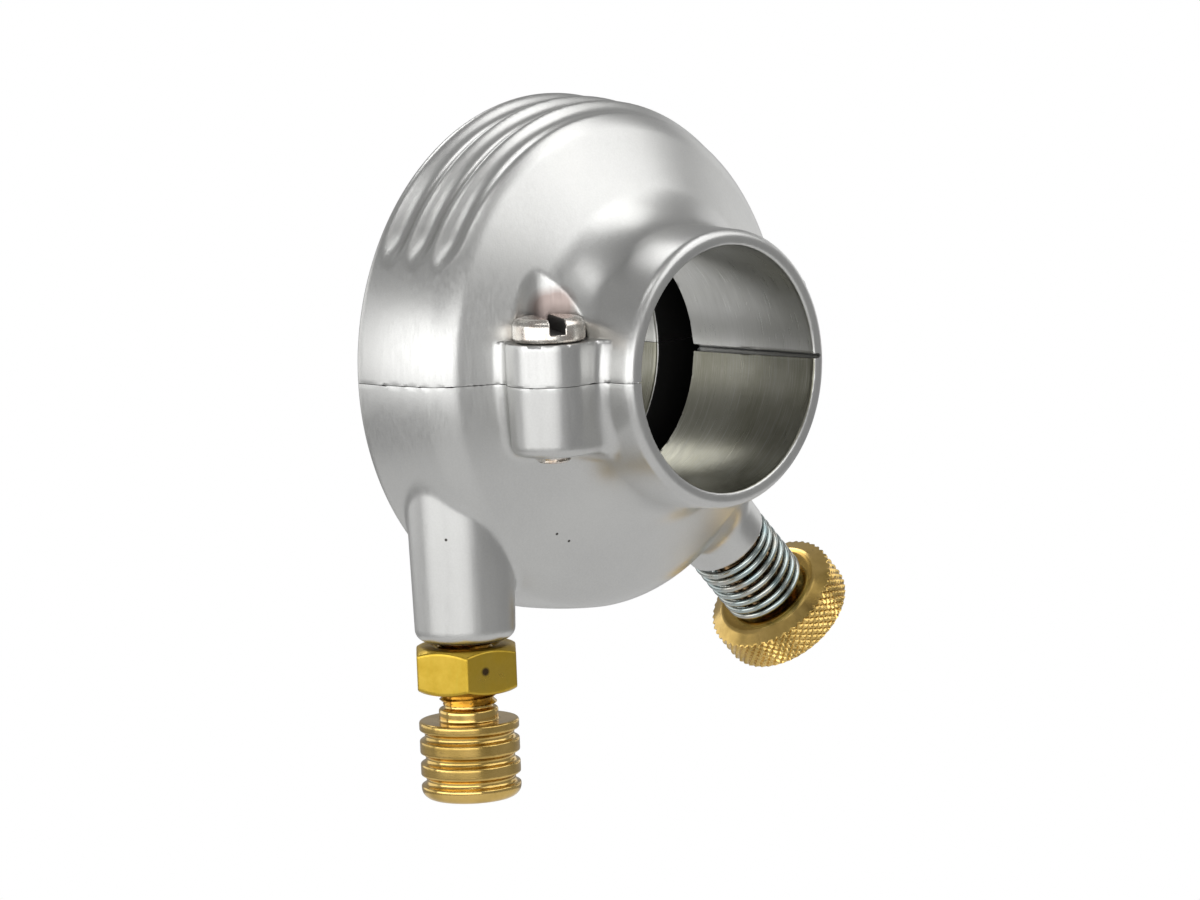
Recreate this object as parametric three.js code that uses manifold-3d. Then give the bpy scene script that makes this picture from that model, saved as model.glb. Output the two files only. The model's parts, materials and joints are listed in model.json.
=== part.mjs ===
// Clamp housing of a twist-grip throttle: a round drum in two half shells whose neck closes round a
// handlebar, with two clamp screws, a hollow cable adjuster and its locknut, and a friction
// thumbscrew with its spring and pad.
// Millimetres, +Z up. The origin is on the handlebar's axis, in the neck's end face. +X points out
// of the neck and along the handlebar, the halves part at z = 0, and the cable leaves on the -Y side.
import * as THREE from "three";
import { mergeVertices } from "three/addons/utils/BufferGeometryUtils.js";
import Module from "manifold-3d";

const wasm = await Module();
wasm.setup();

// Driving dimensions.
const SPLIT_GAP = 0.3; // between the two half shells
const RUNNING_GAP = 0.3; // between pieces that touch on the real object

const BAR_BORE_RADIUS = 12.7; // 1 inch handlebar
const NECK_RADIUS = 14.6;
const LIP_RADIUS = 0.8; // rounding of the neck's end
const LIP_ARC_DEG = 75;
const NECK_FILLET = 5.6;
const SHOULDER_DEG = 58.8; // the shoulder's slope, from the handlebar's axis
const CREASE = [26.3, -16.3]; // radius and x where the shoulder's cone would meet the band
const CREASE_ROUND = 2.2;
const CREASE_START_DEG = 11; // the band's slope where the crease's rounding starts
const BAND_BULGE = 0.2; // how far the band swells between its two ends
const DRUM_RADIUS = 27.4;
const BACK_X = -27.4;
const BACK_EDGE = 1.2;
const DRUM_RISE = 0.5; // the drum's middle is this far above the handlebar's axis
const RISE_X = [-12, -6]; // over which the outside leaves that axis

const CAVITY_X = [-24.8, -17.8]; // room for the grip's cable wheel
const CAVITY_RADIUS = 23.5;
const GRIP_BORE_RADIUS = 14.4; // for the grip's sleeve, behind the cavity

const GROOVES_X = [-24.2, -20.65, -17.1];
const GROOVE_TOOL_RADIUS = 1.6;
const GROOVE_DEPTH = 0.8;
const GROOVE_START_DEG = 30; // above the split plane, on both sides
const GROOVE_RUN_OUT_DEG = 7; // over which a groove fades out
const GROOVE_LIFT = 1.3; // how far past the surface its cutter ends, in groove depths

const FAR = 60; // past everything

// The two clamp screws. Heights run along a screw's own axis towards its head, from the split plane.
// The front screw goes in from above and out through its lug, the rear one goes in from below.
const CLAMPS = {
  clamp_screw_front: { x: -8.3, y: -17.6, up: 1, tip: -8.1, holeEnd: -FAR, slotDeg: -23 },
  clamp_screw_rear: { x: -10.8, y: 17.1, up: -1, tip: -5.6, holeEnd: -6.4, slotDeg: 42 },
};
const LUG_RADIUS = 4.4;
const LUG_HEAD_END = 4.3; // the screw head's seat
const LUG_FAR_END = -7.3;
const LUG_CHAMFER = 0.8;
const WEB_INSET = 0.6; // the web to the neck is narrower than its lug on each side
const SEAT_RADIUS = 4.0; // pocket round the head
const CLAMP_HOLE_RADIUS = 2.15;
const CLAMP_SHANK_RADIUS = 1.95;
const CLAMP_SHANK_CHAMFER = 0.4;
const CLAMP_HEAD_RADIUS = 3.7;
const CLAMP_HEAD_HEIGHT = 2.5;
const SLOT_WIDTH = 1.2;
const SLOT_DEPTH = 1.3;

const CABLE_X = -21.15;
const CABLE_Y = -19;
const CABLE_BOSS_RADIUS = [5.2, 5.6]; // at its end and at the drum
const CABLE_BOSS_BOTTOM = -27.3;
const CABLE_BOSS_TOP = -8; // inside the drum
const CABLE_BOSS_CHAMFER = 0.8;
const CABLE_HOLE_TOP = -16.5; // where the adjuster's hole narrows
const CABLE_HOLE_RADIUS = 3.2;
const CABLE_PASSAGE_RADIUS = 2.1;

const ADJUSTER_THREAD_RADIUS = 3.0;
const ADJUSTER_BORE_RADIUS = 1.6; // the cable's way
const ADJUSTER_SEAT_RADIUS = 2.6; // the casing's end sits here
const ADJUSTER_TOP = -18.5;
const COLLAR_RADIUS = 3.1;
const COLLAR_Z = [-35.7, -34.3];
const BARREL_RADIUS = 5.2;
const BARREL_BOTTOM = -43.9;
const BARREL_GROOVES_Z = [-37.2, -39.6, -41.9];
const BARREL_GROOVE = [0.5, 0.5]; // half width and depth
const BARREL_EDGE = 1.2;
const COLLAR_EDGE = 0.3;
const THREAD_DEPTH = 0.5; // how much thinner the neck of the thread and its end are

const NUT_FLATS = 10.3;
const NUT_Z = [-32.6, -27.8];
const NUT_BORE_RADIUS = 3.25;
const NUT_CHAMFER = 0.55; // at a corner, along the axis

const FRICTION_X = -22.2;
const FRICTION_DEG = -46.2; // the thumbscrew's axis, from +Y towards -Z
const FRICTION_BOSS_RADIUS = [4.6, 4.9]; // at its end and at the drum
const FRICTION_BOSS_START = 20; // inside the drum
const FRICTION_BOSS_END = 30.7; // all friction distances are from the handlebar's axis
const FRICTION_HOLE_RADIUS = 3.2;
const THUMB_SHANK_RADIUS = 3.0;
const THUMB_TIP = 26.2;
const KNOB = [39.7, 45.2];
const KNOB_RADIUS = 7.5;
const KNOB_CHAMFER = [0.7, 1.2]; // along the axis and across it
const PAD = [22.3, 25.8];
const PAD_RADIUS = 2.85;
const PAD_CHAMFER = 0.3;
const SPRING = [31.0, 39.4];
const SPRING_WIRE_RADIUS = 0.45;
const SPRING_RADIUS = 4.35; // to the middle of the wire
const SPRING_TURNS = 6;
const SPRING_CLOSED_TURNS = 0.6; // at each end
const SPRING_CLOSED_GAP = 0.12; // between the end turns

const lerp = THREE.MathUtils.lerp;
const radians = THREE.MathUtils.degToRad;

// A closed solid from a geometry, with its faces turned outwards.
function solid(geometry) {
  geometry.deleteAttribute("normal");
  geometry.deleteAttribute("uv");
  const merged = mergeVertices(geometry, 1e-4);
  const position = merged.attributes.position.array;
  const triangles = [];
  for (let i = 0; i < merged.index.count; i += 3) {
    const [a, b, c] = merged.index.array.slice(i, i + 3);
    if (a !== b && b !== c && c !== a) {
      triangles.push(a, b, c);
    }
  }
  const corner = (i) => new THREE.Vector3().fromArray(position, 3 * triangles[i]);
  let volume = 0;
  for (let i = 0; i < triangles.length; i += 3) {
    volume += corner(i).dot(corner(i + 1).cross(corner(i + 2)));
  }
  if (volume < 0) {
    triangles.reverse();
  }
  const mesh = new wasm.Mesh({
    numProp: 3,
    vertProperties: new Float32Array(position),
    triVerts: new Uint32Array(triangles),
  });
  return new wasm.Manifold(mesh);
}

// A turned shape about +Y from [radius, height] points, closed by its own ends on the axis.
function turned(outline, segments) {
  const points = outline.map(([radius, height]) => new THREE.Vector2(radius, height));
  return new THREE.LatheGeometry(points, segments);
}

// A ring-shaped turned shape: its outline closes on itself.
function turnedRing(outline, segments) {
  return turned([...outline, outline[0]], segments);
}

// A cylinder or cone about +Y between two heights.
function rod(radiusLow, radiusHigh, low, high, segments) {
  return turned([[0, low], [radiusLow, low], [radiusHigh, high], [0, high]], segments);
}

const alongX = (geometry) => geometry.rotateZ(-Math.PI / 2);
const alongZ = (geometry, x, y, up = 1) => geometry.rotateX((up * Math.PI) / 2).translate(x, y, 0);
const alongFriction = (geometry) => geometry.rotateX(radians(FRICTION_DEG)).translate(FRICTION_X, 0, 0);

function block(x, y, z) {
  const box = new THREE.BoxGeometry(x[1] - x[0], y[1] - y[0], z[1] - z[0]);
  return solid(box.translate((x[0] + x[1]) / 2, (y[0] + y[1]) / 2, (z[0] + z[1]) / 2));
}

// Points on an arc, angles in degrees.
function arc(centre, radius, from, to, steps) {
  return Array.from({ length: steps + 1 }, (_, i) => {
    const angle = radians(lerp(from, to, i / steps));
    return [centre[0] + radius * Math.cos(angle), centre[1] + radius * Math.sin(angle)];
  });
}

// The band's radius at a share of the way from the drum's back edge to the crease.
const bandRadius = (share) => lerp(DRUM_RADIUS, CREASE[0], share) + 4 * BAND_BULGE * share * (1 - share);

// The drum and neck, solid, as [radius, x] from the back to the neck's end.
function drumOutline() {
  const bandStart = BACK_X + BACK_EDGE;
  const band = [0.3, 0.6].map((share) => [bandRadius(share), lerp(bandStart, CREASE[1], share)]);
  const slope = radians(SHOULDER_DEG);
  const turn = radians(SHOULDER_DEG - CREASE_START_DEG);
  const creaseLeg = CREASE_ROUND * Math.tan(turn / 2);
  const creaseCentre = [
    CREASE[0] - creaseLeg * Math.sin(slope) - CREASE_ROUND * Math.cos(slope),
    CREASE[1] + creaseLeg * Math.cos(slope) - CREASE_ROUND * Math.sin(slope),
  ];
  const coneMeetsNeck = CREASE[1] + (CREASE[0] - NECK_RADIUS) / Math.tan(slope);
  const filletCentre = [NECK_RADIUS + NECK_FILLET, coneMeetsNeck + NECK_FILLET * Math.tan(slope / 2)];
  return [
    [0, BACK_X],
    ...arc([DRUM_RADIUS - BACK_EDGE, bandStart], BACK_EDGE, -90, 0, 3),
    ...band,
    ...arc(creaseCentre, CREASE_ROUND, CREASE_START_DEG, SHOULDER_DEG, 3),
    ...arc(filletCentre, NECK_FILLET, 180 + SHOULDER_DEG, 180, 5),
    ...arc([NECK_RADIUS - LIP_RADIUS, -LIP_RADIUS], LIP_RADIUS, 0, LIP_ARC_DEG, 2),
    [NECK_RADIUS - LIP_RADIUS, 0],
    [0, 0],
  ];
}

// The drum and neck, solid, with the drum raised over the handlebar's axis.
function drum() {
  return solid(alongX(turned(drumOutline(), 64))).warp((point) => {
    point[2] += DRUM_RISE * (1 - THREE.MathUtils.smoothstep(point[0], ...RISE_X));
  });
}

// The path of a groove's cutter round the drum: it leaves the surface over the run-out.
class GroovePath extends THREE.Curve {
  constructor(x) {
    super();
    this.x = x;
  }

  getPoint(t, target = new THREE.Vector3()) {
    const from = GROOVE_START_DEG - GROOVE_RUN_OUT_DEG;
    const degrees = lerp(from, 180 - from, t);
    const inside = Math.min(degrees, 180 - degrees) - from;
    const lift = 1 - Math.min(inside / (2 * GROOVE_RUN_OUT_DEG), 1);
    const bandStart = BACK_X + BACK_EDGE;
    const surface = bandRadius((this.x - bandStart) / (CREASE[1] - bandStart));
    const radius = surface + GROOVE_TOOL_RADIUS - GROOVE_DEPTH * (1 - GROOVE_LIFT * lift * lift);
    const angle = radians(degrees);
    return target.set(this.x, radius * Math.cos(angle), radius * Math.sin(angle) + DRUM_RISE);
  }
}

function groove(x) {
  const section = new THREE.Shape().absarc(0, 0, GROOVE_TOOL_RADIUS, 0, 2 * Math.PI);
  const path = new GroovePath(x);
  const options = { extrudePath: path, steps: 32, bevelEnabled: false, curveSegments: 5 };
  return solid(new THREE.ExtrudeGeometry(section, options));
}

// One screw lug with its web to the neck.
function lug({ x, y, up }) {
  const post = turned(
    [
      [0, LUG_FAR_END],
      [LUG_RADIUS - LUG_CHAMFER, LUG_FAR_END],
      [LUG_RADIUS, LUG_FAR_END + LUG_CHAMFER],
      [LUG_RADIUS, LUG_HEAD_END],
      [0, LUG_HEAD_END],
    ],
    28,
  );
  const half = LUG_RADIUS - WEB_INSET;
  const ascending = (a, b) => a - b;
  const webY = [y, Math.sign(y) * BAR_BORE_RADIUS].sort(ascending);
  const webZ = [up * LUG_FAR_END, up * LUG_HEAD_END].sort(ascending);
  return solid(alongZ(post, x, y, up)).add(block([x - half, x + half], webY, webZ));
}

// A rounded boss for the cable adjuster, and a plain one for the thumbscrew.
function bosses() {
  const [cableEnd, cableRoot] = CABLE_BOSS_RADIUS;
  const cable = turned(
    [
      [0, CABLE_BOSS_BOTTOM],
      [cableEnd - CABLE_BOSS_CHAMFER, CABLE_BOSS_BOTTOM],
      [cableEnd, CABLE_BOSS_BOTTOM + CABLE_BOSS_CHAMFER],
      [cableRoot, CABLE_BOSS_TOP],
      [0, CABLE_BOSS_TOP],
    ],
    32,
  );
  const [frictionEnd, frictionRoot] = FRICTION_BOSS_RADIUS;
  const friction = rod(frictionRoot, frictionEnd, FRICTION_BOSS_START, FRICTION_BOSS_END, 28);
  return solid(alongZ(cable, CABLE_X, CABLE_Y)).add(solid(alongFriction(friction)));
}

// Both half shells as one body, before they are parted.
function housing() {
  let body = drum();
  for (const clamp of Object.values(CLAMPS)) {
    const { x, y, up, holeEnd } = clamp;
    const pocket = rod(SEAT_RADIUS, SEAT_RADIUS, LUG_HEAD_END, FAR, 28);
    const hole = rod(CLAMP_HOLE_RADIUS, CLAMP_HOLE_RADIUS, holeEnd, FAR, 20);
    body = body
      .add(lug(clamp))
      .subtract(solid(alongZ(pocket, x, y, up)))
      .subtract(solid(alongZ(hole, x, y, up)));
  }
  const cavity = rod(CAVITY_RADIUS, CAVITY_RADIUS, CAVITY_X[0], CAVITY_X[1], 64);
  const barBore = rod(BAR_BORE_RADIUS, BAR_BORE_RADIUS, CAVITY_X[1] - 1, FAR, 64);
  const gripBore = rod(GRIP_BORE_RADIUS, GRIP_BORE_RADIUS, -FAR, CAVITY_X[0] + 1, 64);
  const cableHole = rod(CABLE_HOLE_RADIUS, CABLE_HOLE_RADIUS, -FAR, CABLE_HOLE_TOP, 24);
  const cablePassage = rod(CABLE_PASSAGE_RADIUS, CABLE_PASSAGE_RADIUS, -FAR, CABLE_BOSS_TOP, 24);
  const frictionHole = rod(FRICTION_HOLE_RADIUS, FRICTION_HOLE_RADIUS, FRICTION_BOSS_START, FAR, 24);
  return [
    alongX(cavity),
    alongX(barBore),
    alongX(gripBore),
    alongZ(cableHole, CABLE_X, CABLE_Y),
    alongZ(cablePassage, CABLE_X, CABLE_Y),
    alongFriction(frictionHole),
  ].reduce((rest, cut) => rest.subtract(solid(cut)), body.add(bosses()));
}

const whole = housing();

function upperHousing() {
  const half = whole.intersect(block([-FAR, FAR], [-FAR, FAR], [SPLIT_GAP / 2, FAR]));
  return GROOVES_X.reduce((rest, x) => rest.subtract(groove(x)), half);
}

function lowerHousing() {
  return whole.intersect(block([-FAR, FAR], [-FAR, FAR], [-FAR, -SPLIT_GAP / 2]));
}

// A slotted screw with a low rounded head, in its lug. Its slot is turned from +X.
function clampScrew({ x, y, up, tip, slotDeg }) {
  const seat = LUG_HEAD_END + RUNNING_GAP;
  const top = seat + CLAMP_HEAD_HEIGHT;
  const screw = turned(
    [
      [0, tip],
      [CLAMP_SHANK_RADIUS - CLAMP_SHANK_CHAMFER, tip],
      [CLAMP_SHANK_RADIUS, tip + CLAMP_SHANK_CHAMFER],
      [CLAMP_SHANK_RADIUS, seat],
      [CLAMP_HEAD_RADIUS - 0.3, seat],
      [CLAMP_HEAD_RADIUS, seat + 0.5],
      [CLAMP_HEAD_RADIUS - 0.1, seat + 1.6],
      [CLAMP_HEAD_RADIUS - 0.8, top - 0.2],
      [CLAMP_HEAD_RADIUS - 1.8, top],
      [0, top],
    ],
    24,
  );
  const slot = new THREE.BoxGeometry(3 * CLAMP_HEAD_RADIUS, SLOT_WIDTH, 2 * SLOT_DEPTH);
  slot.rotateZ(radians(slotDeg)).translate(x, y, up * top);
  return solid(alongZ(screw, x, y, up)).subtract(solid(slot));
}

// A hollow screw with a ribbed barrel at its lower end.
function cableAdjuster() {
  const [halfWidth, depth] = BARREL_GROOVE;
  const ribs = BARREL_GROOVES_Z.toReversed().flatMap((z) => [
    [BARREL_RADIUS, z - halfWidth],
    [BARREL_RADIUS - depth, z - halfWidth / 2],
    [BARREL_RADIUS - depth, z + halfWidth / 2],
    [BARREL_RADIUS, z + halfWidth],
  ]);
  const outline = [
    [ADJUSTER_SEAT_RADIUS, BARREL_BOTTOM],
    ...arc([BARREL_RADIUS - BARREL_EDGE, BARREL_BOTTOM + BARREL_EDGE], BARREL_EDGE, -90, 0, 3),
    ...ribs,
    [BARREL_RADIUS, COLLAR_Z[0] - COLLAR_EDGE],
    [BARREL_RADIUS - COLLAR_EDGE, COLLAR_Z[0]],
    [COLLAR_RADIUS, COLLAR_Z[0]],
    [COLLAR_RADIUS, COLLAR_Z[1]],
    [ADJUSTER_THREAD_RADIUS - THREAD_DEPTH, COLLAR_Z[1] + COLLAR_EDGE],
    [ADJUSTER_THREAD_RADIUS - THREAD_DEPTH, NUT_Z[0] - COLLAR_EDGE],
    [ADJUSTER_THREAD_RADIUS, NUT_Z[0]],
    [ADJUSTER_THREAD_RADIUS, ADJUSTER_TOP - THREAD_DEPTH],
    [ADJUSTER_THREAD_RADIUS - THREAD_DEPTH, ADJUSTER_TOP],
    [ADJUSTER_BORE_RADIUS, ADJUSTER_TOP],
    [ADJUSTER_BORE_RADIUS, COLLAR_Z[0]],
    [ADJUSTER_SEAT_RADIUS, COLLAR_Z[0]],
  ];
  return solid(alongZ(turnedRing(outline, 28), CABLE_X, CABLE_Y));
}

// A hexagon nut with its corners chamfered. A corner points away from the drum.
function adjusterLocknut() {
  const cornerRadius = NUT_FLATS / Math.sqrt(3);
  const outside = cornerRadius + 0.05;
  const faceRadius = NUT_FLATS / 2 - 0.1;
  const hexagon = new THREE.CylinderGeometry(cornerRadius, cornerRadius, NUT_Z[1] - NUT_Z[0], 6);
  hexagon.translate(0, (NUT_Z[0] + NUT_Z[1]) / 2, 0).rotateY(Math.PI / 4);
  const chamfered = turned(
    [
      [0, NUT_Z[0]],
      [faceRadius, NUT_Z[0]],
      [outside, NUT_Z[0] + NUT_CHAMFER],
      [outside, NUT_Z[1] - NUT_CHAMFER],
      [faceRadius, NUT_Z[1]],
      [0, NUT_Z[1]],
    ],
    36,
  );
  const bore = rod(NUT_BORE_RADIUS, NUT_BORE_RADIUS, -FAR, FAR, 28);
  return solid(alongZ(hexagon, CABLE_X, CABLE_Y))
    .intersect(solid(alongZ(chamfered, CABLE_X, CABLE_Y)))
    .subtract(solid(alongZ(bore, CABLE_X, CABLE_Y)));
}

function frictionThumbscrew() {
  const [near, far] = KNOB;
  const [long, across] = KNOB_CHAMFER;
  const outline = [
    [0, THUMB_TIP],
    [THUMB_SHANK_RADIUS - THREAD_DEPTH, THUMB_TIP],
    [THUMB_SHANK_RADIUS, THUMB_TIP + THREAD_DEPTH],
    [THUMB_SHANK_RADIUS, near],
    [KNOB_RADIUS - across, near],
    [KNOB_RADIUS, near + long],
    [KNOB_RADIUS, far - long],
    [KNOB_RADIUS - across, far],
    [0, far],
  ];
  return solid(alongFriction(turned(outline, 36)));
}

function frictionPad() {
  const outline = [
    [0, PAD[0]],
    [PAD_RADIUS - PAD_CHAMFER, PAD[0]],
    [PAD_RADIUS, PAD[0] + PAD_CHAMFER],
    [PAD_RADIUS, PAD[1]],
    [0, PAD[1]],
  ];
  return solid(alongFriction(turned(outline, 24)));
}

// The spring's wire, about +Y, with its end turns closed.
class SpringPath extends THREE.Curve {
  getPoint(t, target = new THREE.Vector3()) {
    const turn = t * SPRING_TURNS;
    const span = SPRING[1] - SPRING[0] - 2 * SPRING_WIRE_RADIUS;
    const closedPitch = 2 * SPRING_WIRE_RADIUS + SPRING_CLOSED_GAP;
    const openTurns = SPRING_TURNS - 2 * SPRING_CLOSED_TURNS;
    const openPitch = (span - 2 * SPRING_CLOSED_TURNS * closedPitch) / openTurns;
    const closedLow = Math.min(turn, SPRING_CLOSED_TURNS);
    const closedHigh = Math.max(turn - SPRING_CLOSED_TURNS - openTurns, 0);
    const open = turn - closedLow - closedHigh;
    const height = (closedLow + closedHigh) * closedPitch + open * openPitch;
    const angle = 2 * Math.PI * turn;
    return target.set(
      SPRING_RADIUS * Math.cos(angle),
      SPRING[0] + SPRING_WIRE_RADIUS + height,
      SPRING_RADIUS * Math.sin(angle),
    );
  }
}

function frictionSpring() {
  const section = new THREE.Shape().absarc(0, 0, SPRING_WIRE_RADIUS, 0, 2 * Math.PI);
  const options = {
    extrudePath: new SpringPath(),
    steps: 14 * SPRING_TURNS,
    bevelEnabled: false,
    curveSegments: 4,
  };
  return solid(alongFriction(new THREE.ExtrudeGeometry(section, options)));
}

const castAluminium = { color: 0xb9b9b4, roughness: 0.38, metalness: 0.9 };
const brass = { color: 0xc59a3c, roughness: 0.3, metalness: 1 };
const yellowBrass = { color: 0xbfa336, roughness: 0.35, metalness: 1 };
const steel = { color: 0xc4bfb6, roughness: 0.28, metalness: 1 };
const zincPlate = { color: 0xa9b0ad, roughness: 0.25, metalness: 1 };
const frictionPlastic = { color: 0x2b2926, roughness: 0.7, metalness: 0 };

const throttleHousing = new THREE.Group();

function addPiece(name, shape, material) {
  const { numProp, vertProperties, triVerts } = shape.getMesh();
  const geometry = new THREE.BufferGeometry();
  geometry.setAttribute("position", new THREE.BufferAttribute(vertProperties, numProp));
  geometry.setIndex(new THREE.BufferAttribute(triVerts, 1));
  geometry.computeVertexNormals();
  const mesh = new THREE.Mesh(geometry, new THREE.MeshStandardMaterial(material));
  mesh.name = name;
  throttleHousing.add(mesh);
}

addPiece("upper_housing", upperHousing(), castAluminium);
addPiece("lower_housing", lowerHousing(), castAluminium);
for (const [name, clamp] of Object.entries(CLAMPS)) {
  addPiece(name, clampScrew(clamp), steel);
}
addPiece("cable_adjuster", cableAdjuster(), brass);
addPiece("adjuster_locknut", adjusterLocknut(), yellowBrass);
addPiece("friction_thumbscrew", frictionThumbscrew(), brass);
addPiece("friction_spring", frictionSpring(), zincPlate);
addPiece("friction_pad", frictionPad(), frictionPlastic);

export default throttleHousing;
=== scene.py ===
"""The looks of a twist-grip throttle's clamp housing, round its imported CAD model.

Shapes are worked out in millimetres in the model's own frame: the origin is on the handlebar's axis
in the neck's end face, +X points out of the neck, +Z up, and the halves part at z = 0. Each solid is
described by a field, a signed distance to its surface that is negative inside, and meshed from it.
That gives the castings their fillets and the turned pieces their threads and knurl.
"""

import json
import math

import bpy
import numpy as np
from mathutils import Matrix, Vector


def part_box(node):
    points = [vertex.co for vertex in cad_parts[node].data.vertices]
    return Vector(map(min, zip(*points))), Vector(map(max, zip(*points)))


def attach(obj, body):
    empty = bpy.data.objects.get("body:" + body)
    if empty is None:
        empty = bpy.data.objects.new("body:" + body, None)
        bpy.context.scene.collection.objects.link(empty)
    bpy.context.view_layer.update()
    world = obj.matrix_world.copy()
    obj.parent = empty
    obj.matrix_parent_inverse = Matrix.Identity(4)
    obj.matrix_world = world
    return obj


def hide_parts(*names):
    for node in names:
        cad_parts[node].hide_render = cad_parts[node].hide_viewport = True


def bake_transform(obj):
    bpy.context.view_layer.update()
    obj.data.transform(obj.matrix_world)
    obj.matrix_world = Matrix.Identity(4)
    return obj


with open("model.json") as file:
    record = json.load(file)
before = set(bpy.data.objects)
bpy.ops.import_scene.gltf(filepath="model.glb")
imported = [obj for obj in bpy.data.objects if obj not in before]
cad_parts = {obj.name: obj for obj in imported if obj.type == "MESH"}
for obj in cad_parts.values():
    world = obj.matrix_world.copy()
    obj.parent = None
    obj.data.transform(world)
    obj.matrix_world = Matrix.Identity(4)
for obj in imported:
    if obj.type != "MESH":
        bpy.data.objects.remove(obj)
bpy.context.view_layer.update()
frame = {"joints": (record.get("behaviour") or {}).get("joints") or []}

MM = 0.001
AXES = {joint["name"]: joint for joint in frame["joints"]}


def place_mm(joint_name):
    """A hinge's place, in millimetres."""
    return np.array(AXES[joint_name]["pos_m"]) / MM


def box_mm(node):
    """The lowest and highest corner of a CAD node, in millimetres."""
    low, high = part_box(node)
    return np.array(low) / MM, np.array(high) / MM


# Housing. The numbers ending in EDGE and BLEND, here and below, are the radii of rounded edges and
# of the fillets where two shapes meet.
BACK_X = box_mm("upper_housing")[0][0]
DRUM_RADIUS = box_mm("upper_housing")[1][1]
BACK_EDGE = 1.2
BAND_SWELL = 0.2
BAND_SHARE = 1.3  # the band's curve runs on past the crease, to this share of its width
CREASE_X = -16.3  # where the shoulder's cone would meet the band, and its radius there
CREASE_RADIUS = 26.3
CREASE_BLEND = 2.25
CREASE_FADE = 0.027  # how fast the crease softens towards +Y
SHOULDER_SWELL_Y = -14.0  # past this, towards -Y, the shoulder stands out beyond its cone
SHOULDER_SWELL = 0.0049  # by this much, times the square of the distance
SHOULDER_SINK = 0.0008  # how it falls back on the +Y side, in the same way
SHOULDER = math.radians(58.8)  # its slope from the handlebar's axis
DRUM_RISE = 0.5  # the drum's middle is this far above the handlebar's axis
RISE_X = (-12.0, -6.0)  # from fully risen to on that axis
NECK_RADIUS = 14.35
NECK_TAPER = 0.06
NECK_BLEND = 3.0
LIP_EDGE = 0.85
BORE_EDGE = 0.35
BAR_BORE = 12.7
GRIP_BORE = 14.4
CAVITY_X = (-24.8, -17.8)
CAVITY_RADIUS = 23.5
CUT_OVERLAP = 1.0  # how far a bore's tool reaches into the cavity

GROOVES_X = (-24.2, -20.65, -17.1)
GROOVE_TOOL = 1.6
GROOVE_DEPTH = 0.85
GROOVE_FULL_DEG = 34.0  # how far above the split the grooves are still at full depth
GROOVE_RUN_OUT_DEG = 8.2
GROOVE_EDGE = 0.45

# Heights on a clamp screw and its lug run along the screw's axis towards its head, from the split.
LUG_HEAD_END = 4.3
LUG_FAR_END = -7.3
LUG_RADIUS = 4.5
LUG_TAPER = 0.045  # on the side away from the screw's head
LUG_BLEND = 1.45
LUG_HEAD_EDGE = 0.15
LUG_FAR_EDGE = 1.0
WEB_TAPER = 0.12
SEAT_RADIUS = 4.0
SEAT_EDGE = 0.12
CLAMP_HOLE = 2.15
CLAMPS = {
    "clamp_screw_front": {"slot_deg": -29.0, "tip": -8.1, "hole_end": -60.0},
    "clamp_screw_rear": {"slot_deg": 42.0, "tip": -5.6, "hole_end": -6.4},
}

CABLE_BOSS_BOTTOM = box_mm("lower_housing")[0][2]
CABLE_BOSS_TOP = -8.0  # inside the drum
CABLE_BOSS_RADIUS = 5.2
CABLE_BOSS_TAPER = 0.026
CABLE_BOSS_EDGE = 1.2
CABLE_BOSS_BLEND = (0.4, 1.1)  # tighter at the boss's top
CABLE_BLEND_TOP = -10.0  # the fillet grows from here down
CABLE_BLEND_GROWTH = 0.08
CABLE_HOLE = 3.2
CABLE_HOLE_TOP = -16.5
CABLE_PASSAGE = 2.1

# Distances along the thumbscrew's axis are from the handlebar's axis.
FRICTION_BOSS_START = 20.0  # inside the drum
FRICTION_BOSS_END = 30.7
FRICTION_BOSS_RADIUS = 4.75
FRICTION_BOSS_TAPER = 0.03
FRICTION_BOSS_EDGE = 0.4
FRICTION_BOSS_BLEND = (0.4, 2.6)  # tighter next to the drum's back
FRICTION_BLEND_MIDDLE = 1.6
FRICTION_BLEND_GROWTH = 0.4
FRICTION_HOLE = 3.2

HALF_SPLIT = 0.03  # half the parting gap where the halves touch
SPLIT_TILT = 0.0065  # how fast it opens towards +Y along the bore
SPLIT_WIDENS = 0.035  # and by how much more of that in each mm inwards
SPLIT_WIDEST = 1.8
SPLIT_PIVOT_Y = -20.0
SPLIT_OPEN_DEPTH = 0.9  # how deep from the bore it is open
SPLIT_RUN_OUT = 0.3

# Small pieces
THREAD_DEPTH = 0.55  # as a share of the pitch
OVERLAP = 0.5  # how far the parts of one piece reach into each other
CLAMP_SEAT = LUG_HEAD_END + 0.03
CLAMP_TOP = CLAMP_SEAT + 2.45
CLAMP_HEAD_RADIUS = 3.7
CLAMP_TOP_EDGE = 0.9
CLAMP_SEAT_EDGE = 0.45
CLAMP_SHANK = 1.95
CLAMP_PITCH = 0.7
CLAMP_TIP_CHAMFER = 0.5
CLAMP_TIP_EDGE = 0.15
SLOT_WIDTH = 1.6
SLOT_DEPTH = 1.5
SLOT_EDGE = 0.12

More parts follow.
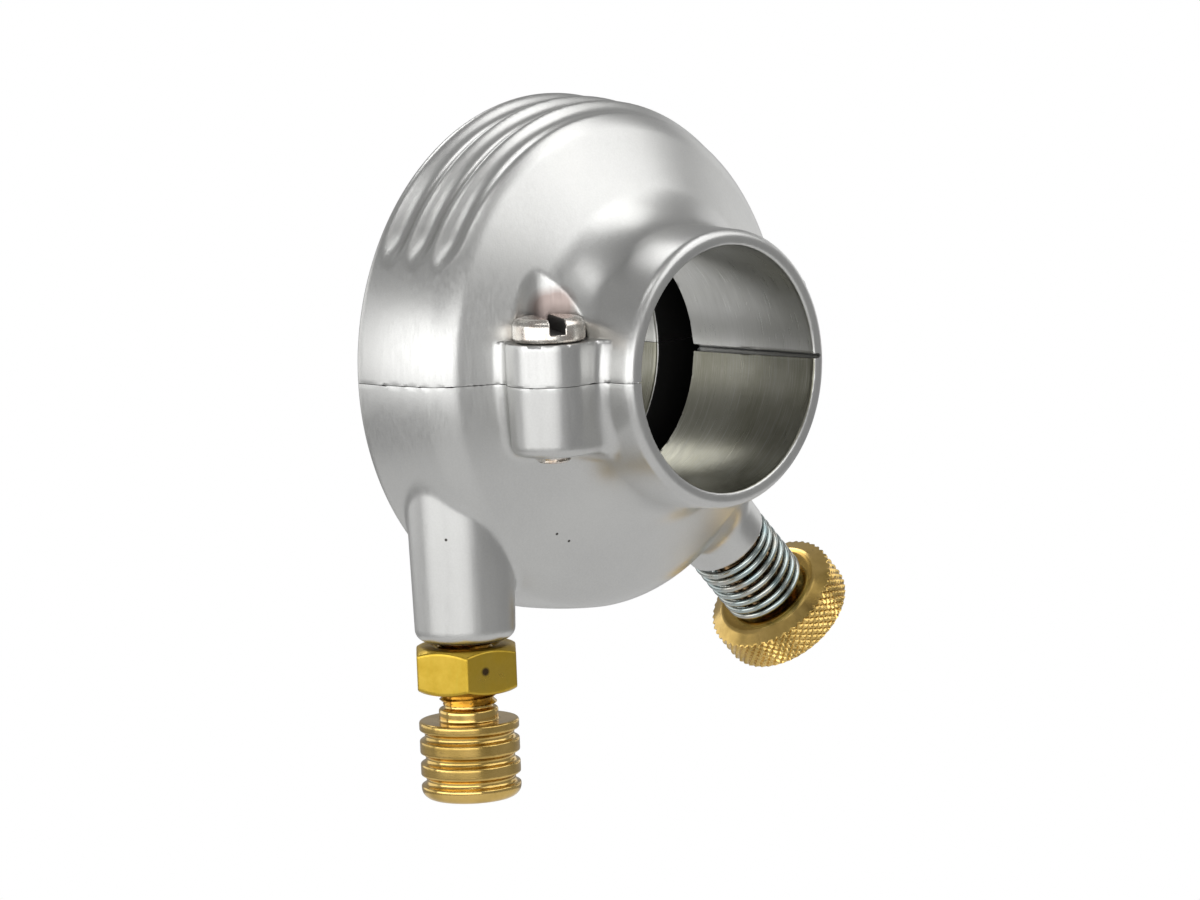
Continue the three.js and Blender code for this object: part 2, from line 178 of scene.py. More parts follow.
ADJUSTER_TOP = -18.5
THREAD_RADIUS = 3.0
THREAD_PITCH = 0.8
THREAD_BOTTOM = -34.0
CORE_RADIUS = 2.5
COLLAR_RADIUS = 3.1
COLLAR_Z = (-35.7, -34.4)
COLLAR_EDGE = 0.35
COLLAR_BLEND = 0.15
BARREL_RADIUS = 5.2
BARREL_TOP_EDGE = 0.25
BARREL_BOTTOM_EDGE = 1.2
BARREL_BOTTOM = box_mm("cable_adjuster")[0][2]
BARREL_GROOVES_Z = (-37.2, -39.6, -41.9)
BARREL_GROOVE_TOOL = 0.5
BARREL_GROOVE_DEPTH = 0.55
BARREL_GROOVE_EDGE = 0.16
ADJUSTER_BORE = 1.6
CASING_SEAT = 2.6
CASING_SEAT_EDGE = 0.2

NUT_FLATS = 10.3
NUT_BORE = 3.1
NUT_BORE_CHAMFER = 0.5
NUT_CORNER_DEG = -42.7
NUT_CORNER_EDGE = 0.18
NUT_FACE_EDGE = 0.1
NUT_CHAMFER = 0.3
NUT_CHAMFER_SLOPE = math.radians(30)
NUT_CHAMFER_EDGE = 0.12

KNOB = (39.65, 45.0)
KNOB_RADIUS = 7.5
KNOB_CHAMFER = 1.8  # across; it is half as long along the axis
KNOB_EDGE = 0.2
KNOB_BLEND = 0.1
KNURLS = 50
KNURL_DEPTH = 0.26
KNURL_FLAT = 0.25  # how blunt the knurl's points are
THUMB_TIP = 26.2
THUMB_PITCH = 1.0
PAD = (22.3, 25.8)
PAD_RADIUS = 2.85
PAD_EDGE = 0.2
PAD_HOLLOW = 22.42

SPRING = (30.85, 39.6)
SPRING_RADIUS = 4.35
SPRING_WIRE = 0.39
SPRING_TURNS = 7.0
SPRING_START_DEG = 215.0
SPRING_CLOSED = 0.9  # turns that lie closed at each end
SPRING_COIL_GAP = 0.03

# Marks on the metal, and spots of painted shade
# Spots of reddish stain that also paint shade into the front screw's pocket.
POCKET_STAINS_AND_SHADE = ((-10.4, -14.2, 7.4), (-11.2, -14.9, 7.2))  # in the front screw's pocket
# Spots of painted shade inside small casting pits.
PIT_SHADE_SPOTS = ((-13.26, -12.84, -16.48), (-13.18, -11.24, -17.42), (-18.35, -23.73, -16.07))
NUT_SPOT = (-16.3, -20.88, -30.0)
SPOT_CORE = 0.55  # the share of a spot's radius that is at full strength

# How far past a bore, slot or face its own look reaches
BORE_REACH = 0.1
CAVITY_REACH = 0.05
TUBE_RIM = 0.03  # over which a bore's look fades out, outwards and past its ends
TUBE_END_RIM = 0.02
SLOT_REACH = 0.05
INNER_FACE_REACH = 0.3
ROOT_REACH = 0.1

# Camera and light
VIEW_AZIMUTH = -45.85
VIEW_ELEVATION = 6.6
VIEW_ROLL = -2.03
VIEW_DISTANCE = 513.5
VIEW_LENS = 150
VIEW_LEFT = 13.38  # how far left of the origin the camera looks, and how far below it
VIEW_DOWN = 8.31
SURROUND = 0.33  # the grey that the metal mirrors where there is no light
FLOOR_Z = -120.0
FLOOR_RADIUS = 240.0
FLOOR_SIDES = 96

# Meshing
HOUSING_STEP = 0.3
KNURL_STEP = 0.11
CLAMP_STEP = 0.13
SMALL_STEP = 0.14
UPRIGHT = np.eye(3)
SHARP_DEG = 55.0  # edges sharper than this are shaded as edges
ROOM = 0.2  # round a small piece in its grid
HOUSING_ROOM = 1.0
FIT_SOFTNESS = 0.02  # holds a point near its cell's middle where the planes leave it free
PULL_LIMIT = 0.3  # of a step, for the last correction onto the surface
FLATTEST_SLOPE = 0.5  # of a field, taken for that correction


# Fields


def round_union(a, b, radius):
    """Both solids, with a fillet where they meet."""
    inner = np.hypot(np.maximum(radius - a, 0), np.maximum(radius - b, 0))
    return np.maximum(radius, np.minimum(a, b)) - inner


def round_cut(a, b, radius):
    """What is inside both, with a rounded edge. round_cut(a, -b, r) takes b away from a."""
    outer = np.hypot(np.maximum(radius + a, 0), np.maximum(radius + b, 0))
    return np.minimum(-radius, np.maximum(a, b)) + outer


def triangle(phase):
    """A wave from 0 to 1 and back once in each unit of phase."""
    return np.abs(2 * (phase % 1) - 1)


def thread(x, y, along, radius, pitch):
    """A rod with a V thread about the local Z axis."""
    turn = np.arctan2(y, x) / (2 * math.pi)
    return np.hypot(x, y) - radius + THREAD_DEPTH * pitch * triangle(along / pitch - turn)


def band_radius(x):
    """The drum's radius from its back to the crease, where the shoulder begins."""
    back = BACK_X + BACK_EDGE
    share = np.clip((x - back) / (CREASE_X - back), 0, BAND_SHARE)
    swell = 4 * BAND_SWELL * share * (1 - share)
    return DRUM_RADIUS + (CREASE_RADIUS - DRUM_RADIUS) * share + swell


def from_middle(x, y, z):
    """Distance from the outside's middle line, which leaves the handlebar's axis behind the neck."""
    share = np.clip((x - RISE_X[0]) / (RISE_X[1] - RISE_X[0]), 0, 1)
    rise = DRUM_RISE * (1 - share**2 * (3 - 2 * share))
    return np.hypot(y, z - rise)


def drum(x, y, radius):
    """The drum, its cone shoulder and the neck, solid."""
    swell = SHOULDER_SWELL * np.maximum(SHOULDER_SWELL_Y - y, 0) ** 2
    from_crease = x - CREASE_X - swell + SHOULDER_SINK * np.maximum(y, 0) ** 2
    shoulder = (radius - CREASE_RADIUS) * math.cos(SHOULDER) + from_crease * math.sin(SHOULDER)
    body = round_cut(radius - band_radius(x), shoulder, CREASE_BLEND + CREASE_FADE * y)
    neck = radius - (NECK_RADIUS - NECK_TAPER * x)
    body = round_union(body, neck, NECK_BLEND)
    body = round_cut(body, x, LIP_EDGE)
    return round_cut(body, BACK_X - x, BACK_EDGE)


def lug(x, y, height, axis):
    """A screw lug with its web to the neck, endless on the side of the screw's head."""
    side = math.copysign(1, axis[1])
    inward = np.clip(side * (axis[1] - y), 0, abs(axis[1]) - BAR_BORE)
    middle = axis[1] - side * inward
    radius = LUG_RADIUS + LUG_TAPER * np.minimum(height, 0) - WEB_TAPER * inward
    post = np.hypot(x - axis[0], y - middle) - radius
    return round_cut(post, LUG_FAR_END - height, LUG_FAR_EDGE)


def from_cable_axis(x, y):
    return np.hypot(x - CABLE_AXIS[0], y - CABLE_AXIS[1])


def on_friction_axis(x, y, z):
    """Distance along the thumbscrew's axis, outwards, and distance from that axis."""
    along = y * FRICTION_OUT[1] + z * FRICTION_OUT[2]
    across = y * FRICTION_OUT[2] - z * FRICTION_OUT[1]
    return along, np.hypot(x - FRICTION_X, across)


def bosses(x, y, z, body):
    """The drum with its cable boss and its thumbscrew boss, flush with its back."""
    cable = from_cable_axis(x, y) - CABLE_BOSS_RADIUS - CABLE_BOSS_TAPER * (z - CABLE_BOSS_BOTTOM)
    cable = round_cut(cable, CABLE_BOSS_BOTTOM - z, CABLE_BOSS_EDGE)
    cable = np.maximum(cable, z - CABLE_BOSS_TOP)
    blend = np.clip(CABLE_BLEND_GROWTH * (CABLE_BLEND_TOP - z), *CABLE_BOSS_BLEND)
    body = round_union(body, cable, blend)
    along, across = on_friction_axis(x, y, z)
    friction = across - FRICTION_BOSS_RADIUS - FRICTION_BOSS_TAPER * (FRICTION_BOSS_END - along)
    friction = round_cut(friction, along - FRICTION_BOSS_END, FRICTION_BOSS_EDGE)
    friction = np.maximum(friction, FRICTION_BOSS_START - along)
    blend = FRICTION_BLEND_MIDDLE + FRICTION_BLEND_GROWTH * (x - FRICTION_X)
    body = round_union(body, friction, np.clip(blend, *FRICTION_BOSS_BLEND))
    return np.maximum(body, BACK_X - x)


def casting(x, y, z):
    """Both half shells as one, with every bore, before they are parted."""
    body = bosses(x, y, z, drum(x, y, from_middle(x, y, z)))
    for name, clamp in CLAMPS.items():
        axis, up = place_mm(name + "_turn"), head_side(name)
        joined = round_union(body, lug(x, y, up * z, axis), LUG_BLEND)
        body = np.minimum(body, round_cut(joined, up * z - LUG_HEAD_END, LUG_HEAD_EDGE))
        from_axis = np.hypot(x - axis[0], y - axis[1])
        pocket = np.maximum(from_axis - SEAT_RADIUS, LUG_HEAD_END - up * z)
        body = round_cut(body, -pocket, SEAT_EDGE)
        body = np.maximum(body, -np.maximum(from_axis - CLAMP_HOLE, clamp["hole_end"] - up * z))
    radius = np.hypot(y, z)
    bar_bore = np.maximum(radius - BAR_BORE, CAVITY_X[1] - CUT_OVERLAP - x)
    body = round_cut(body, -bar_bore, BORE_EDGE)
    cavity = np.maximum(radius - CAVITY_RADIUS, np.maximum(CAVITY_X[0] - x, x - CAVITY_X[1]))
    body = np.maximum(body, -cavity)
    grip_bore = np.maximum(radius - GRIP_BORE, x - CAVITY_X[0] - CUT_OVERLAP)
    body = round_cut(body, -grip_bore, BORE_EDGE)
    from_cable = from_cable_axis(x, y)
    body = np.maximum(body, -np.maximum(from_cable - CABLE_HOLE, z - CABLE_HOLE_TOP))
    body = np.maximum(body, -np.maximum(from_cable - CABLE_PASSAGE, z - CABLE_BOSS_TOP))
    along, across = on_friction_axis(x, y, z)
    return np.maximum(body, -np.maximum(across - FRICTION_HOLE, FRICTION_BOSS_START - along))


def half_gap(x, y, z):
    """Half the gap between the halves, a hairline outside that opens towards the bore."""
    depth = np.clip((BAR_BORE + SPLIT_OPEN_DEPTH - np.hypot(y, z)) / SPLIT_RUN_OUT, 0, 1)
    widening = np.clip(1 - SPLIT_WIDENS * x, 1, SPLIT_WIDEST)
    return HALF_SPLIT + depth * widening * SPLIT_TILT * np.maximum(y - SPLIT_PIVOT_Y, 0)


def lower_housing_field(x, y, z):
    return np.maximum(casting(x, y, z), z + half_gap(x, y, z))


def upper_housing_field(x, y, z):
    body = casting(x, y, z)
    radius = from_middle(x, y, z)
    above_split = np.degrees(np.arctan2(z - DRUM_RISE, np.abs(y)))
    fade = np.clip((GROOVE_FULL_DEG - above_split) / GROOVE_RUN_OUT_DEG, 0, 1.5)
    depth = GROOVE_DEPTH * (1 - fade**2)
    for groove_x in GROOVES_X:
        middle = band_radius(groove_x) + GROOVE_TOOL - depth
        tool = np.hypot(x - groove_x, radius - middle) - GROOVE_TOOL
        body = round_cut(body, -tool, GROOVE_EDGE)
    return np.maximum(body, half_gap(x, y, z) - z)


def head_side(clamp_name):
    """1 for a clamp screw whose head is above the split, -1 for one whose head is below it."""
    return AXES[clamp_name + "_turn"]["axis"][2]


def from_slot(x, y, slot_deg):
    """Distance from the middle plane of a screw's slot."""
    angle = math.radians(slot_deg)
    return np.abs(y * math.cos(angle) - x * math.sin(angle))


def clamp_screw_field(slot_deg, tip, up):
    """A slotted screw with a low rounded head, its axis along local Z."""

    def field(x, y, z):
        height = up * z
        radius = np.hypot(x, y)
        head = round_cut(radius - CLAMP_HEAD_RADIUS, height - CLAMP_TOP, CLAMP_TOP_EDGE)
        head = round_cut(head, CLAMP_SEAT - height, CLAMP_SEAT_EDGE)
        slot = np.maximum(from_slot(x, y, slot_deg) - SLOT_WIDTH / 2, CLAMP_TOP - SLOT_DEPTH - height)
        head = round_cut(head, -slot, SLOT_EDGE)
        shank = np.maximum(thread(x, y, z, CLAMP_SHANK, CLAMP_PITCH), height - CLAMP_SEAT - OVERLAP)
        chamfer = (radius - CLAMP_SHANK + CLAMP_TIP_CHAMFER + tip - height) / math.sqrt(2)
        shank = round_cut(np.maximum(shank, chamfer), tip - height, CLAMP_TIP_EDGE)
        return np.minimum(head, shank)

    return field


def cable_adjuster_field(x, y, z):
    """The hollow adjuster: a thread, a collar and a ribbed barrel that the cable's casing sits in."""
    radius = np.hypot(x, y)
    barrel = round_cut(radius - BARREL_RADIUS, z - COLLAR_Z[0], BARREL_TOP_EDGE)
    barrel = round_cut(barrel, BARREL_BOTTOM - z, BARREL_BOTTOM_EDGE)
    groove_middle = BARREL_RADIUS + BARREL_GROOVE_TOOL - BARREL_GROOVE_DEPTH
    for groove_z in BARREL_GROOVES_Z:
        tool = np.hypot(radius - groove_middle, z - groove_z) - BARREL_GROOVE_TOOL
        barrel = round_cut(barrel, -tool, BARREL_GROOVE_EDGE)
    collar = round_cut(radius - COLLAR_RADIUS, z - COLLAR_Z[1], COLLAR_EDGE)
    collar = np.maximum(collar, COLLAR_Z[0] - OVERLAP - z)
    core = np.maximum(radius - CORE_RADIUS, np.maximum(COLLAR_Z[0] - z, z - ADJUSTER_TOP))
    screw = thread(x, y, z, THREAD_RADIUS, THREAD_PITCH)
    screw = np.maximum(screw, np.maximum(THREAD_BOTTOM - z, z - ADJUSTER_TOP))
    solid = round_union(np.minimum(barrel, np.minimum(core, screw)), collar, COLLAR_BLEND)
    seat = np.maximum(radius - CASING_SEAT, z - COLLAR_Z[0])
    return round_cut(np.maximum(solid, ADJUSTER_BORE - radius), -seat, CASING_SEAT_EDGE)


def nut_flats(x, y, turn_deg):
    """Distance beyond a pair of the nut's flats, turned so far from a corner."""
    angle = math.radians(NUT_CORNER_DEG + turn_deg)
    return np.abs(x * math.cos(angle) + y * math.sin(angle)) - NUT_FLATS / 2


def adjuster_locknut_field(x, y, z):
    """A hexagon nut with its corners chamfered at both ends."""
    low, high = box_mm("adjuster_locknut")
    middle, half = (low[2] + high[2]) / 2, (high[2] - low[2]) / 2
    nut = round_cut(nut_flats(x, y, 30), nut_flats(x, y, 90), NUT_CORNER_EDGE)
    nut = round_cut(nut, nut_flats(x, y, 150), NUT_CORNER_EDGE)
    radius = np.hypot(x, y)
    height = np.abs(z - middle) - half
    nut = round_cut(nut, height, NUT_FACE_EDGE)
    chamfer = (radius - NUT_FLATS / 2 + NUT_CHAMFER) * math.sin(NUT_CHAMFER_SLOPE)
    chamfer = chamfer + height * math.cos(NUT_CHAMFER_SLOPE)
    nut = round_cut(nut, chamfer, NUT_CHAMFER_EDGE)
    bore_chamfer = (NUT_BORE + NUT_BORE_CHAMFER - radius + height) / math.sqrt(2)
    return np.maximum(nut, np.maximum(NUT_BORE - radius, bore_chamfer))


def friction_thumbscrew_field(x, y, along):
    """The knurled thumbscrew, its axis along local Z."""
    radius = np.hypot(x, y)
    around = np.arctan2(y, x) / (2 * math.pi) * KNURLS
    lead = along / (2 * math.pi * KNOB_RADIUS / KNURLS)
    valley = np.maximum(triangle(around + lead), triangle(around - lead))
    cut = np.clip((1 + KNURL_FLAT) * valley - KNURL_FLAT, 0, 1)
    rim = radius - KNOB_RADIUS + KNURL_DEPTH * cut
    middle, half = (KNOB[0] + KNOB[1]) / 2, (KNOB[1] - KNOB[0]) / 2
    height = np.abs(along - middle) - half
    chamfer = (radius - KNOB_RADIUS + KNOB_CHAMFER + 2 * height) / math.sqrt(5)
    knob = np.maximum(rim, round_cut(height, chamfer, KNOB_EDGE))
    shank = thread(x, y, along, THREAD_RADIUS, THUMB_PITCH)
    shank = np.maximum(shank, np.maximum(THUMB_TIP - along, along - KNOB[0] - OVERLAP))
    return round_union(knob, shank, KNOB_BLEND)


def friction_pad_field(x, y, along):
    """A plug whose inner end is hollowed to fit a wheel on the handlebar, which runs along X."""
    pad = round_cut(np.hypot(x, y) - PAD_RADIUS, along - PAD[1], PAD_EDGE)
    return round_cut(pad, PAD_HOLLOW - np.hypot(y, along), PAD_EDGE)


# Meshes


def gradient(field, points, reach=0.01):
    """The field's slope at each point."""
    slope = np.empty_like(points)
    for k in range(3):
        step = np.zeros(3)
        step[k] = reach
        slope[:, k] = (field(*(points + step).T) - field(*(points - step).T)) / (2 * reach)
    return slope


def crossed_edges(values, lines, step, axis):
    """Where the surface crosses the grid's edges along one axis: the points and the cells round each."""
    low = np.moveaxis(np.moveaxis(values, axis, 0)[:-1], 0, axis)
    high = np.moveaxis(np.moveaxis(values, axis, 0)[1:], 0, axis)
    index = np.argwhere((low < 0) != (high < 0))
    u, v = (axis + 1) % 3, (axis + 2) % 3
    at = tuple(index.T)
    points = np.stack([lines[k][index[:, k]] for k in range(3)], axis=1)
    points[:, axis] += step * low[at] / (low[at] - high[at])
    ring = []
    for side_u, side_v in ((0, 0), (-1, 0), (-1, -1), (0, -1)):
        cell = index.copy()
        cell[:, u] += side_u
        cell[:, v] += side_v
        ring.append(np.ravel_multi_index(tuple(cell.T), values.shape))
    ring = np.stack(ring, axis=1)
    ring[low[at] >= 0] = ring[low[at] >= 0][:, ::-1]
    return points, ring


def contour(field, low, high, step):
    """Points and quads of the surface where the field is 0, with its sharp edges kept.

    Each grid cell that the surface crosses gets one point, the one that best fits the planes where
    the surface crosses the cell's edges. The box from low to high holds the solid with room round it.
    """
    starts, ends = np.floor(np.array(low) / step) - 1, np.ceil(np.array(high) / step) + 2
    lines = [step * (np.arange(start, end) + 0.5) for start, end in zip(starts, ends)]
    values = field(*np.meshgrid(*lines, indexing="ij", sparse=True))
    found = [crossed_edges(values, lines, step, axis) for axis in range(3)]
    points = np.concatenate([p for p, _ in found])
    rings = np.concatenate([r for _, r in found])
    normals = gradient(field, points)
    normals /= np.maximum(np.linalg.norm(normals, axis=1, keepdims=True), 1e-9)

    used, quads = np.unique(rings, return_inverse=True)
    quads = quads.reshape(-1, 4)
    cells = quads.ravel()
    points, normals = np.repeat(points, 4, axis=0), np.repeat(normals, 4, axis=0)

    def total(weights):
        return np.bincount(cells, weights, len(used))

    count = total(np.ones(len(cells)))
    middle = np.stack([total(points[:, k]) / count for k in range(3)], axis=1)
    offset = ((points - middle[cells]) * normals).sum(axis=1)
    square = np.empty((len(used), 3, 3))
    right = np.empty((len(used), 3))
    for i in range(3):
        right[:, i] = total(normals[:, i] * offset)
        for j in range(3):
            square[:, i, j] = total(normals[:, i] * normals[:, j])
    square += FIT_SOFTNESS * np.eye(3)
    move = np.linalg.solve(square, right[:, :, None])[:, :, 0]
    vertices = middle + np.clip(move, -step, step)
    slope = gradient(field, vertices)
    correction = field(*vertices.T) / np.maximum((slope**2).sum(axis=1), FLATTEST_SLOPE**2)
    limit = PULL_LIMIT * step
    vertices -= np.clip(correction, -limit, limit)[:, None] * slope
    return vertices, quads


def new_piece(name, vertices, faces, skins):
    """A smooth-shaded mesh object from points in millimetres."""
    mesh = bpy.data.meshes.new(name)
    mesh.from_pydata((vertices * MM).tolist(), [], faces)
    mesh.shade_smooth()
    mesh.set_sharp_from_angle(angle=math.radians(SHARP_DEG))
    for skin in skins:
        mesh.materials.append(skin)
    piece = bpy.data.objects.new(name, mesh)
    bpy.context.scene.collection.objects.link(piece)
    return piece


def field_piece(name, field, box, step, skins, turn=UPRIGHT, shift=(0, 0, 0)):
    """A piece meshed from a field about its own origin, then turned and shifted into the frame."""
    vertices, quads = contour(field, *box, step)
    return new_piece(name, vertices @ turn.T + np.array(shift), quads.tolist(), skins)


def round_box(radius, bottom, top):
    """The box for a round piece's grid, about local Z."""
    reach = radius + ROOM
    return (-reach, -reach, bottom - ROOM), (reach, reach, top + ROOM)


def spring_centre(share):
    """The middle of the spring's wire, as distance along its axis and turns made."""
    turns = share * SPRING_TURNS
    open_turns = SPRING_TURNS - 2 * SPRING_CLOSED
    closed_pitch = 2 * SPRING_WIRE + SPRING_COIL_GAP
    span = SPRING[1] - SPRING[0] - 2 * SPRING_WIRE
    open_pitch = (span - 2 * SPRING_CLOSED * closed_pitch) / open_turns
    closed = np.minimum(turns, SPRING_CLOSED) + np.maximum(turns - SPRING_CLOSED - open_turns, 0)
    return SPRING[0] + SPRING_WIRE + closed * closed_pitch + (turns - closed) * open_pitch, turns


def spring_mesh(steps_per_turn=56, sides=14):
    """A round wire swept along the coil, with flat ends, about local Z."""
    share = np.linspace(0, 1, int(SPRING_TURNS * steps_per_turn) + 1)
    height, turns = spring_centre(share)
    angle = 2 * math.pi * turns + math.radians(SPRING_START_DEG)
    out = np.stack([np.cos(angle), np.sin(angle), 0 * angle], axis=1)
    centre = SPRING_RADIUS * out + np.outer(height, (0, 0, 1))
    tangent = np.gradient(centre, axis=0)
    tangent /= np.linalg.norm(tangent, axis=1, keepdims=True)
    up = np.cross(tangent, out)
    round_angle = np.arange(sides) * 2 * math.pi / sides
    rings = centre[:, None] + SPRING_WIRE * (
        np.cos(round_angle)[None, :, None] * out[:, None] + np.sin(round_angle)[None, :, None] * up[:, None]
    )
    vertices = rings.reshape(-1, 3)
    row, column = np.meshgrid(np.arange(len(share) - 1), np.arange(sides), indexing="ij")
    after = (column + 1) % sides
    quads = np.stack(
        [row * sides + column, (row + 1) * sides + column, (row + 1) * sides + after, row * sides + after],
        axis=-1,
    ).reshape(-1, 4)
    first = list(range(sides))
    last = [len(vertices) - 1 - k for k in range(sides)]
    return vertices, quads.tolist() + [first, last]


# Axes that the CAD model's joints give
CABLE_AXIS = place_mm("adjuster_locknut_turn")
FRICTION_X = place_mm("friction_thumbscrew_turn")[0]
FRICTION_ORIGIN = (FRICTION_X, 0, 0)
FRICTION_OUT = -np.array(AXES["friction_thumbscrew_turn"]["axis"])
FRICTION_TURN = np.array(
    (
        (1, 0, 0),
        (0, FRICTION_OUT[2], FRICTION_OUT[1]),
        (0, -FRICTION_OUT[1], FRICTION_OUT[2]),
    )
)


# Materials


class Nodes:
    """A material's node tree, built by short calls."""

    def __init__(self, name):
        self.material = bpy.data.materials.new(name)
        self.material.use_nodes = True
        self.tree = self.material.node_tree
        self.shader = self.tree.nodes["Principled BSDF"]
        self.place = self.add("ShaderNodeTexCoord").outputs["Object"]

    def add(self, kind, inputs=None, **settings):
        node = self.tree.nodes.new(kind)
        for key, value in settings.items():
            setattr(node, key, value)
        for key, value in (inputs or {}).items():
            if isinstance(value, bpy.types.NodeSocket):
                self.tree.links.new(value, node.inputs[key])
            else:
                node.inputs[key].default_value = value
        return node

    def millimetres(self, stretch=(1, 1, 1), turn=(0, 0, 0)):
        """The place on the piece, in millimetres, turned and then stretched."""
        turned = self.add("ShaderNodeMapping", {"Vector": self.place, "Rotation": turn}).outputs[0]
        scale = tuple(s / MM for s in stretch)
        return self.add("ShaderNodeMapping", {"Vector": turned, "Scale": scale}).outputs[0]

    def noise(self, scale, detail=2.0, stretch=(1, 1, 1), turn=(0, 0, 0), roughness=0.5):
        place = self.millimetres(stretch, turn)
        inputs = {"Vector": place, "Scale": scale, "Detail": detail, "Roughness": roughness}
        return self.add("ShaderNodeTexNoise", inputs).outputs["Fac"]

    def ramp(self, factor, low, high, first=0.0, last=1.0):
        """factor's stretch from low to high, mapped to first to last and clamped."""
        inputs = {"Value": factor, "From Min": low, "From Max": high, "To Min": first, "To Max": last}
        return self.add("ShaderNodeMapRange", inputs).outputs["Result"]

    def mix(self, factor, a, b):
        """Colours or values, a where factor is 0 and b where it is 1."""
        node = self.add("ShaderNodeMix", data_type="RGBA")
        # Sockets 6 and 7 are the two that take colours.
        for key, value in ((0, factor), (6, a), (7, b)):
            if isinstance(value, bpy.types.NodeSocket):
                self.tree.links.new(value, node.inputs[key])
            else:
                node.inputs[key].default_value = value if key == 0 else (*value, 1)
        return node.outputs[2]

    def near(self, spots, radius):
        """1 close to any of some points, in millimetres on the piece, and 0 away from them."""
        place, found = self.millimetres(), 0.0
        for spot in spots:
            inputs = {0: place, 1: spot}
            away = self.add("ShaderNodeVectorMath", inputs, operation="DISTANCE").outputs["Value"]
            close = self.ramp(away, radius, SPOT_CORE * radius)
            found = self.add("ShaderNodeMath", {0: found, 1: close}, operation="MAXIMUM").outputs[0]
        return found

    def within(self, tubes):
        """1 inside any of some tubes about the X axis, each given by its radius and its two ends."""
        place, found = self.millimetres(), 0.0
        along = self.add("ShaderNodeSeparateXYZ", {0: place}).outputs["X"]
        across = self.add("ShaderNodeVectorMath", {0: place, 1: (0, 1, 1)}, operation="MULTIPLY").outputs[0]
        across = self.add("ShaderNodeVectorMath", {0: across}, operation="LENGTH").outputs["Value"]
        for radius, start, end in tubes:
            inside = self.ramp(across, radius + TUBE_RIM, radius)
            for limit_x, beyond in ((start, start - TUBE_END_RIM), (end, end + TUBE_END_RIM)):
                limit = self.ramp(along, beyond, limit_x)
                inside = self.add("ShaderNodeMath", {0: inside, 1: limit}, operation="MINIMUM").outputs[0]
            found = self.add("ShaderNodeMath", {0: found, 1: inside}, operation="MAXIMUM").outputs[0]
        return found

    def bump(self, height, distance_mm):
        """A normal for a relief of this depth."""
        inputs = {"Height": height, "Distance": distance_mm * MM}
        return self.add("ShaderNodeBump", inputs).outputs["Normal"]

    def finish(self, colour, roughness, normal=None, metallic=1.0):
        """Joins the looks to the shader: sockets are linked and plain values set."""
        looks = {"Base Color": colour, "Roughness": roughness, "Normal": normal, "Metallic": metallic}
        for name, value in looks.items():
            if isinstance(value, bpy.types.NodeSocket):
                self.tree.links.new(value, self.shader.inputs[name])
            elif value is not None:
                self.shader.inputs[name].default_value = (*value, 1) if name == "Base Color" else value
        return self.material


def housing_skin(name, bore_colour, stained_bore_colour):
    """A half shell's metal: die-cast aluminium, blasted and lightly brushed, with a few casting pits
    painted as dark spots of shade.

    Its bores are turned and stained by oil, and the bore colours that the caller gives can be darkened to
    paint shade into a bore. The inside of the drum is painted near-black as shade, and reddish stains with
    painted shade darken the front screw's pocket.
    """
    n = Nodes(name)
    cloud = n.noise(0.09, 3)
    grain = n.noise(5.0, 3, roughness=0.6)
    brushed = n.noise(3.0, 2, stretch=(1.6, 1.6, 0.08))
    cast = n.mix(n.ramp(cloud, 0.3, 0.7), (0.53, 0.53, 0.52), (0.58, 0.58, 0.565))
    cast = n.mix(n.ramp(grain, 0.35, 0.75, 0, 0.35), cast, (0.66, 0.66, 0.65))
    # Reddish stain and painted shade darken the front screw's pocket.
    cast = n.mix(n.ramp(n.near(POCKET_STAINS_AND_SHADE, 2.4), 0, 1, 0, 0.8), cast, (0.26, 0.19, 0.17))
    # Dark spots paint the shade inside small casting pits.
    cast = n.mix(n.near(PIT_SHADE_SPOTS, 0.19), cast, (0.05, 0.045, 0.04))

    rings = n.noise(2.2, 3, stretch=(4.0, 0.12, 0.12))
    stain = n.noise(0.16, 3)
    turned = n.mix(n.ramp(stain, 0.35, 0.7), bore_colour, stained_bore_colour)
    turned = n.mix(n.ramp(rings, 0.5, 0.8, 0, 0.4), turned, (0.5, 0.5, 0.47))

    neck = (BAR_BORE + BORE_REACH, CAVITY_X[1], CUT_OVERLAP)
    grip = (GRIP_BORE + BORE_REACH, BACK_X - CUT_OVERLAP, CAVITY_X[0])
    in_bore = n.within((neck, grip))
    cavity = (CAVITY_RADIUS + CAVITY_REACH, CAVITY_X[0] - CAVITY_REACH, CAVITY_X[1] + CAVITY_REACH)
    in_cavity = n.within((cavity,))
    # The inside of the drum is coloured near-black: painted shade.
    colour = n.mix(in_cavity, n.mix(in_bore, cast, turned), (0.009, 0.0085, 0.008))
    rough = n.mix(in_bore, n.ramp(brushed, 0.3, 0.7, 0.30, 0.38), n.ramp(rings, 0.3, 0.7, 0.27, 0.42))
    rough = n.mix(in_cavity, rough, (0.75, 0.75, 0.75))
    relief = n.mix(in_bore, n.mix(0.4, grain, brushed), rings)
    return n.finish(colour, rough, n.bump(relief, 0.009), metallic=n.ramp(in_cavity, 0, 1, 1, 0))


def turned_brass(name, turn=(0, 0, 0), bright=(0.74, 0.51, 0.17), worn=(0.42, 0.28, 0.075)):
    """Brass with fine turning rings square to the local Z axis, and darker where it's handled."""
    n = Nodes(name)
    rings = n.noise(1.6, 1, stretch=(0.04, 0.04, 1.2), turn=turn)
    patina = n.noise(0.3, 3)
    spots = n.noise(1.1, 2)
    colour = n.mix(n.ramp(patina, 0.4, 0.75), bright, worn)
    colour = n.mix(n.ramp(spots, 0.70, 0.80, 0, 0.5), colour, (0.16, 0.10, 0.04))
    rough = n.ramp(patina, 0.3, 0.7, 0.13, 0.24)
    return n.finish(colour, rough, n.bump(rings, 0.004))


